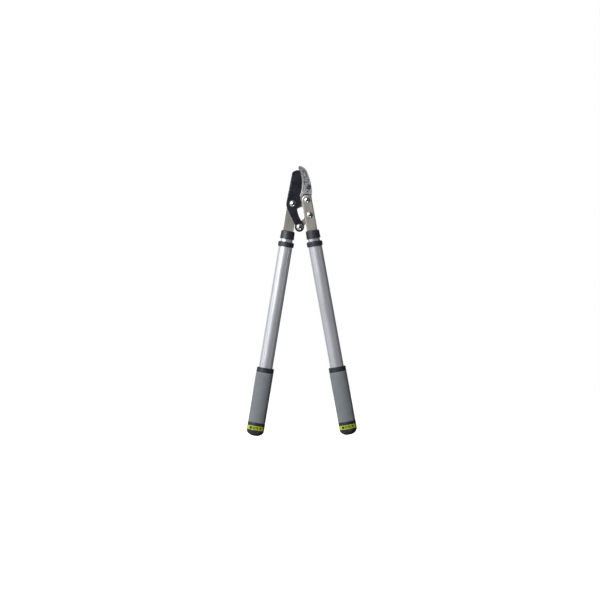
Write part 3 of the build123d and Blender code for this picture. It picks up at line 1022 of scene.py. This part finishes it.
@dataclass
class OvalSection:
    """Oval of four arcs; ovals of every width share their centres."""

    side_centre: float = 8.0 * MM
    crown_centre: float = 11.55 * MM
    side_steps: int = 22
    crown_steps: int = 16

    def ring(self, bm: BMesh, station: float, width: float) -> list[BMEdge]:
        """Spin one closed oval.

        Args:
            bm: Mesh to add it to.
            station: Distance down the handle.
            width: Width of the oval.

        Returns:
            The oval's edges.
        """
        span = hypot(self.side_centre, self.crown_centre)
        reach = 1 + (width / 2 - self.side_centre) / span
        corner = Vector((self.side_centre * reach, -(reach - 1) * self.crown_centre, station))
        side_turn = 2 * atan2(self.crown_centre, self.side_centre)
        arcs = (
            ((self.side_centre, 0.0), side_turn, self.side_steps),
            ((0.0, -self.crown_centre), pi - side_turn, self.crown_steps),
            ((-self.side_centre, 0.0), side_turn, self.side_steps),
            ((0.0, self.crown_centre), pi - side_turn, self.crown_steps),
        )
        before = set(bm.verts)
        tip = bm.verts.new(corner)
        for centre, angle, steps in arcs:
            made = bmesh.ops.spin(
                bm, geom=[tip], cent=(*centre, station), axis=(0, 0, 1), angle=angle, steps=steps
            )
            tip = next(item for item in made["geom_last"] if isinstance(item, bmesh.types.BMVert))
        verts = [v for v in bm.verts if v not in before]
        bmesh.ops.remove_doubles(bm, verts=verts, dist=WELD)
        return list({e for v in bm.verts if v not in before for e in v.link_edges})


@dataclass
class Handle:
    """One telescopic handle, built down its own axis: x to the right, y to the front, z down."""

    side: str
    pivot: Vector
    down: Vector
    drop: float
    fixed: Body
    sliding: Body
    pressed: Body
    section: OvalSection
    collar_top: float = 27.0
    grip_top: float = 333.0
    foam_top: float = 345.0
    cap_top: float = 466.5
    plug_top: float = 445.0
    tube_end: float = 472.0
    label_top: float = 473.2
    label_end: float = 484.2
    cap_end: float = 498.5
    cap_round: float = 13.5
    cap_dome: float = 15.0
    bore: float = 33.1
    foam_width: float = 41.5
    cap_width: float = 42.0
    seat_width: float = 41.2

    @property
    def lean(self) -> float:
        """Turn of the handle from upright, about Y."""
        return atan2(self.down.x, -self.down.z)

    @property
    def frame(self) -> Matrix:
        """Place of the handle's own axes, at the top of its ferrule."""
        low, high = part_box(self.side + "_outer_tube")
        top = self.pivot + self.down * self.drop
        top.y = (low.y + high.y) / 2
        right = Vector((-self.down.z, 0, self.down.x))
        front = Vector((0, -1, 0))
        turn = Matrix((right, front, self.down)).transposed().to_4x4()
        return Matrix.Translation(top) @ turn

    def plastic(self) -> Finish:
        """Black plastic of the ferrule, collars and cap."""
        return MouldedPlastic("black plastic", Slot.BLACK_PLASTIC, tone(37, 42, 49), tone(90, 97, 106))

    def sleeve(self, steps: Sequence[Step], closed: bool = True) -> BMesh:
        """Bridge ovals in order, and back to the first for a tube's wall.

        Args:
            steps: Station and width of each oval, in millimetres.
            closed: Whether the last oval is joined to the first.

        Returns:
            The sleeve, in the handle's axes.
        """
        bm = bmesh.new()
        stations = [station * MM for station, _ in steps]
        for i in range(1, len(stations)):
            if abs(stations[i] - stations[i - 1]) < FLAT_STEP:
                stations[i] = stations[i - 1] + FLAT_STEP
        if closed and abs(stations[-1] - stations[0]) < FLAT_STEP:
            stations[-1] = stations[0] + FLAT_STEP
        rings = [self.section.ring(bm, spot, width * MM) for spot, (_, width) in zip(stations, steps)]
        pairs = list(zip(rings, rings[1:])) + ([(rings[-1], rings[0])] if closed else [])
        for first, second in pairs:
            bmesh.ops.bridge_loops(bm, edges=first + second)
        return bm

    def place(self, bm: BMesh) -> BMesh:
        """Turn faces outwards and move a mesh from the handle's axes to its place.

        Args:
            bm: Mesh in the handle's axes.

        Returns:
            The same mesh.
        """
        bmesh.ops.recalc_face_normals(bm, faces=bm.faces)
        bmesh.ops.transform(bm, matrix=self.frame, verts=bm.verts)
        return bm

    def fixed_pieces(self) -> None:
        """Make the ferrule and the inner tube, and repaint what they hide."""
        ferrule = self.side + "_ferrule"
        bm = welded(ferrule)
        ease_edges(bm, 0.4 * MM, MOULD_CREASE)
        finish_piece(ferrule + "_eased", bm, self.fixed, self.plastic(), [ferrule])
        bright = BrushedMetal(
            self.side + " inner tube", Slot.BRIGHT_TUBE, tone(226, 228, 231), 0.22, self.lean, 0.03, 0.7
        )
        tube = self.side + "_inner_tube"
        finish_piece(tube + "_drawn", welded(tube), self.fixed, bright, [tube], weighted=False)
        white = MouldedPlastic("white nylon", Slot.NYLON, tone(214, 212, 204), tone(230, 228, 222), 0.4)
        spring = Plating("blued spring", Slot.SPRING_STEEL, tone(120, 124, 140), 0.28, tone(98, 104, 130))
        repaint(self.side + "_tang_plug", white)
        repaint(self.side + "_guide_bush", white)
        repaint(self.side + "_tang_pins", PivotBolt.zinc)
        repaint(self.side + "_lock_spring", spring)

    def outer_tube(self) -> None:
        """Smooth the drawn outer tube, with its grooves and lock holes."""
        node = self.side + "_outer_tube"
        silver = BrushedMetal(
            self.side + " outer tube", Slot.SILVER_TUBE, tone(205, 208, 214), 0.33, self.lean, 0.03, 0.55
        )
        finish_piece(node + "_drawn", welded(node), self.sliding, silver, [node], weighted=False)

    def collar(self) -> None:
        """Make the collar on the tube's mouth, with a raised ridge round its middle."""
        node = self.side + "_collar"
        shape = (
            (0.0, 35.0), (0.3, 35.6), (1.5, 37.5), (1.9, 37.8), (4.6, 37.8), (4.9, 38.4), (6.6, 38.4),
            (6.9, 37.8), (11.3, 37.8), (11.8, 37.2), (11.8, self.bore), (4.0, self.bore), (4.0, 29.2),
            (0.0, 29.2),
        )
        self.moulding(node, [(self.collar_top + drop, width) for drop, width in shape])

    def grip_collar(self) -> None:
        """Make the moulded ring above the foam, with a thin groove round it."""
        node = self.side + "_grip_collar"
        shape = (
            (0.0, 39.2), (0.3, 39.8), (1.2, 41.1), (1.7, 41.3), (4.6, 41.3), (4.9, 40.7), (5.7, 40.7),
            (6.0, 41.3), (11.5, 41.3), (12.0, 40.8), (12.0, self.bore), (0.0, self.bore),
        )
        self.moulding(node, [(self.grip_top + drop, width) for drop, width in shape])

    def moulding(self, node: str, steps: Sequence[Step]) -> None:
        """Make one moulded ring from its profile in millimetres.

        Args:
            node: Node that it stands for.
            steps: Station and width of each oval.
        """
        bm = self.place(self.sleeve(steps))
        ease_edges(bm, MOULD_SOFT, MOULD_CREASE)
        finish_piece(node + "_moulded", bm, self.sliding, self.plastic(), [node])

    def foam_grip(self) -> None:
        """Make the foam sleeve: a pressed lip at its top, painted lighter as a painted highlight, and a
        slightly uneven skin.
        """
        node = self.side + "_foam_grip"
        top, end, wide = self.foam_top, self.cap_top, self.foam_width
        steps = [(top, wide - 2.4)]
        steps += [(s, w) for w, s in quarter((wide - 1.6, top + 0.8), (1.6, 0.8), -80, 0, 4)]
        steps += [(top + 2.2, wide), (top + 2.7, wide - 0.9), (top + 3.3, wide - 0.9)]
        steps.append((top + 4.2, wide - 0.1))
        body_rings = 44
        first, last = top + 6.0, end - 2.4
        for i in range(body_rings + 1):
            share = i / body_rings
            steps.append((first + (last - first) * share, wide - 0.1 + 0.1 * sin(pi * share)))
        steps += [(s, w) for w, s in quarter((wide - 2.4, end - 1.4), (2.4, 1.4), 10, 90, 4)]
        steps += [(end, self.bore), (top, self.bore)]
        bm = self.sleeve(steps)
        bmesh.ops.recalc_face_normals(bm, faces=bm.faces)
        bm.normal_update()
        lip_painted_highlight = bm.verts.layers.float.new("wear_and_painted_light")
        for vert in bm.verts:
            inside = hypot(vert.co.x, vert.co.y * 1.3) < 17.2 * MM
            if not inside and (top + 6) * MM < vert.co.z < (end - 3) * MM:
                vert.co += vert.normal * noise.noise(vert.co * 55) * 0.14 * MM
            # Painted highlight: the outer skin of the top lip is marked to be painted lighter.
            if not inside and vert.co.z < (top + 2.5) * MM:
                vert[lip_painted_highlight] = 0.45
        self.place(bm)
        # The foam's second colour is the lip's painted highlight.
        foam = ClosedFoam("grey foam", Slot.GREY_FOAM, tone(124, 130, 134), tone(146, 151, 155))
        piece = finish_piece(node + "_sleeve", bm, self.sliding, foam, [node], weighted=False)

    def fillet_width(self, station: float, wide: float) -> float:
        """Width of the cap at a station, as its rounded corner alone leaves it."""
        drop = max(0.0, station - self.cap_end + self.cap_round)
        return wide - 2 * self.cap_round + 2 * sqrt(max(0.0, self.cap_round**2 - drop**2))

    def dome_width(self, drop: float, wide: float) -> float:
        """Width of the oval that rounds the cap's end, by the share of its height."""
        return (wide + 0.2) * sqrt(max(0.0, 1 - drop**2))

    def end_cap(self) -> None:
        """Make the round-ended cap with its plug and label seat."""
        node = self.side + "_end_cap"
        plug, bore = 33.0 - 2.8 - 0.1, self.bore
        wide, seat, step = self.cap_width, self.seat_width, 0.1
        steps = [(self.plug_top, plug - 1.2), (self.plug_top + 1.0, plug), (self.tube_end, plug)]
        steps += [(self.tube_end, bore), (self.cap_top, bore), (self.cap_top, wide - 0.6)]
        steps += [(self.cap_top + 0.3, wide), (self.label_top - step, wide), (self.label_top, seat)]
        steps += [(self.label_end, seat), (self.label_end + step, wide)]
        size = (2 * self.cap_round, self.cap_round)
        steps += [(s, w) for w, s in quarter((wide - size[0], self.cap_end - size[1]), size, 4, 87, 18)]
        bm = self.sleeve(steps, closed=False)
        open_edges = [e for e in bm.edges if e.is_boundary]
        bmesh.ops.holes_fill(bm, edges=open_edges, sides=0)
        for vert in bm.verts:
            station = vert.co.z / MM
            drop = (station - self.label_end) / self.cap_dome
            if drop > 0:
                share = self.dome_width(drop, wide) / max(self.fillet_width(station, wide), 0.1)
                vert.co.x *= min(1.0, share)
        self.place(bm)
        ease_edges(bm, MOULD_SOFT, radians(30))
        finish_piece(node + "_moulded", bm, self.sliding, self.plastic(), [node])

    def label_band(self) -> None:
        """Make the printed band round the cap, with flat coordinates for its print."""
        node = self.side + "_label_band"
        top, end = self.label_top, self.label_end
        steps = [(top, 41.9), (top + 0.15, 42.2), (end - 0.15, 42.2), (end, 41.9), (end, 41.3), (top, 41.3)]
        bm = self.sleeve(steps)
        flat = bm.loops.layers.uv.new("band")
        middle = (top + end) / 2
        for face in bm.faces:
            for loop in face.loops:
                spot = loop.vert.co
                loop[flat].uv = (spot.x / MM, spot.z / MM - middle)
        self.place(bm)
        lime = PrintedBand("lime band", Slot.LIME_BAND, tone(178, 190, 52), tone(34, 38, 30))
        finish_piece(node + "_printed", bm, self.sliding, lime, [node])

    def lock_button(self) -> None:
        """Turn the lock button, with a soft shoulder and a shallow dish in its end."""
        node = self.side + "_lock_button"
        low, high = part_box(node)
        radius, flange, seat = 4.0 * MM, 5.5 * MM, 1.4 * MM
        soft = 1.2 * MM
        profile = [(0.0, low.y), (flange - 0.2 * MM, low.y), (flange, low.y + 0.2 * MM)]
        profile += [(flange, low.y + seat), (radius, low.y + seat)]
        profile += quarter((radius - soft, high.y - soft), (soft, soft), 0, 90, 6)
        profile += [(1.6 * MM, high.y), (1.0 * MM, high.y - 0.25 * MM), (0.0, high.y - 0.25 * MM)]
        bm = turned(profile, (low + high) / 2, 64)
        finish_piece(node + "_turned", bm, self.pressed, PivotBolt.zinc, [node])

    def build(self) -> None:
        """Make every piece of the handle, from the head down."""
        self.fixed_pieces()
        self.collar()
        self.outer_tube()
        self.lock_button()
        self.grip_collar()
        self.foam_grip()
        self.end_cap()
        self.label_band()


# ---- Studio ----


@dataclass
class Studio:
    """Pale floor, soft lights, pale surroundings and the camera."""

    aim: tuple[float, float, float] = (0.0013, -0.0003, -0.1634)
    distance: float = 3.8
    view_width: float = 1.44
    sensor: float = 36.0
    floor_height: float = -0.8
    floor_size: float = 14.0

    def floor(self) -> None:
        """Lay the floor."""
        bm = bmesh.new()
        bmesh.ops.create_grid(bm, x_segments=1, y_segments=1, size=self.floor_size / 2)
        bmesh.ops.translate(bm, verts=bm.verts, vec=(0, 0, self.floor_height))
        mesh = bpy.data.meshes.new("floor")
        bm.to_mesh(mesh)
        bm.free()
        sheet = NodeSheet("pale floor")
        clouds = sheet.grain(3.0, 2.0)
        sheet.surface(
            Base_Color=sheet.blend(sheet.spread(clouds, (0.3, 0.7)), (0.93,) * 3, (0.95,) * 3),
            Roughness=0.7,
            Emission_Color=(1.0, 1.0, 1.0),
            Emission_Strength=0.8,
        )
        mesh.materials.append(sheet.material)
        floor = bpy.data.objects.new("floor", mesh)
        bpy.context.scene.collection.objects.link(floor)
        floor.visible_diffuse = floor.visible_glossy = False

    def lamp(self, name: str, place: Sequence[float], size: Step, power: float) -> None:
        """Hang one soft rectangular lamp that faces the tool.

        Args:
            name: Name of the lamp.
            place: Its place.
            size: Width and height.
            power: Power in watts.
        """
        data = bpy.data.lights.new(name, "AREA")
        data.shape = "RECTANGLE"
        data.size, data.size_y = size
        data.energy = power
        lamp = bpy.data.objects.new(name, data)
        lamp.location = place
        lamp.rotation_euler = (Vector(self.aim) - Vector(place)).to_track_quat("-Z", "Y").to_euler()
        bpy.context.scene.collection.objects.link(lamp)

    def surroundings(self) -> None:
        """Light the tool from pale walls that are brighter on the left, with a dark patch in front."""
        sheet = WorldSheet("surroundings")
        bpy.context.scene.world = sheet.world
        parts = sheet.add("ShaderNodeSeparateXYZ")
        sheet.wire(parts.inputs["Vector"], sheet.place)
        walls = sheet.add("ShaderNodeValToRGB")
        sheet.wire(walls.inputs["Fac"], sheet.spread(parts.outputs["X"], (-1.0, 1.0)))
        stops = (
            (0.0, 0.3), (0.1, 0.7), (0.26, 0.72), (0.36, 0.46),
            (0.49, 0.38), (0.6, 0.15), (0.85, 0.06), (1.0, 0.05),
        )
        ramp = walls.color_ramp.elements
        for spot, _ in stops[1:-1]:
            ramp.new(spot)
        for element, (spot, light) in zip(ramp, stops):
            element.position = spot
            element.color = (light, light, light * 1.02, 1.0)
        dark = sheet.spread(parts.outputs["Y"], (-1.0, -0.78), (0.06, 1.0))
        high = sheet.spread(parts.outputs["Z"], (-0.6, 0.6), (0.7, 1.2))
        unlit, white = (sheet.add("ShaderNodeBackground") for _ in range(2))
        sheet.wire(unlit.inputs["Color"], walls.outputs["Color"])
        sheet.wire(unlit.inputs["Strength"], sheet.sums("MULTIPLY", dark, high))
        sheet.wire(white.inputs["Color"], (1.0, 1.0, 1.0))
        mix = sheet.add("ShaderNodeMixShader")
        sheet.wire(mix.inputs["Fac"], sheet.add("ShaderNodeLightPath").outputs["Is Camera Ray"])
        sheet.wire(mix.inputs[1], unlit.outputs["Background"])
        sheet.wire(mix.inputs[2], white.outputs["Background"])
        sheet.wire(sheet.add("ShaderNodeOutputWorld").inputs["Surface"], mix.outputs["Shader"])

    def camera(self) -> None:
        """Stand the camera level in front of the tool."""
        data = bpy.data.cameras.new("camera")
        data.sensor_width = self.sensor
        data.lens = self.sensor * self.distance / self.view_width
        camera = bpy.data.objects.new("camera", data)
        camera.location = Vector(self.aim) - Vector((0, self.distance, 0))
        camera.rotation_euler = (pi / 2, 0, 0)
        bpy.context.scene.collection.objects.link(camera)
        bpy.context.scene.camera = camera

    def build(self) -> None:
        """Set up everything round the tool."""
        bpy.context.scene.view_settings.view_transform = "Standard"
        self.floor()
        self.surroundings()
        self.lamp("key", (-1.5, -2.6, 1.3), (1.0, 1.3), 95.0)
        self.lamp("side card", (-2.6, -1.9, 0.5), (0.9, 1.2), 6.0)
        self.lamp("low fill", (1.1, -1.9, -2.4), (0.9, 0.8), 9.0)
        self.lamp("back fill", (0.5, 3.2, 1.8), (1.6, 1.6), 80.0)
        self.camera()


# ---- Assembly ----


def joint(name: str) -> dict:
    """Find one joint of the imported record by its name."""
    return next(j for j in frame["joints"] if j["name"] == name)


def main() -> None:
    """Build the tool round its frame, then the studio."""
    logging.basicConfig(level=logging.INFO, format="%(message)s")
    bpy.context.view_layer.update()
    section = OvalSection()
    left = Handle(
        "left", Vector(joint("blade_open")["pos_m"]), Vector(joint("left_extend")["axis"]), 65.9 * MM,
        Body.HEAD, Body.LEFT_EXTENSION, Body.LEFT_BUTTON, section,
    )
    right = Handle(
        "right", Vector(joint("handle_open")["pos_m"]), Vector(joint("right_extend")["axis"]), 73.2 * MM,
        Body.RIGHT_HANDLE, Body.RIGHT_EXTENSION, Body.RIGHT_BUTTON, section,
    )
    Bars(left.lean, right.lean).build()
    Hook().build()
    Blade(Vector(joint("blade_open")["pos_m"])).build()
    for name, body in (
        ("blade_pivot", Body.HEAD),
        ("handle_pivot", Body.HEAD),
        ("upper_link", Body.RIGHT_HANDLE),
        ("lower_link", Body.BLADE),
    ):
        PivotBolt(name, body).build()
    left.build()
    right.build()
    Studio().build()


if __name__ == "__main__":
    main()
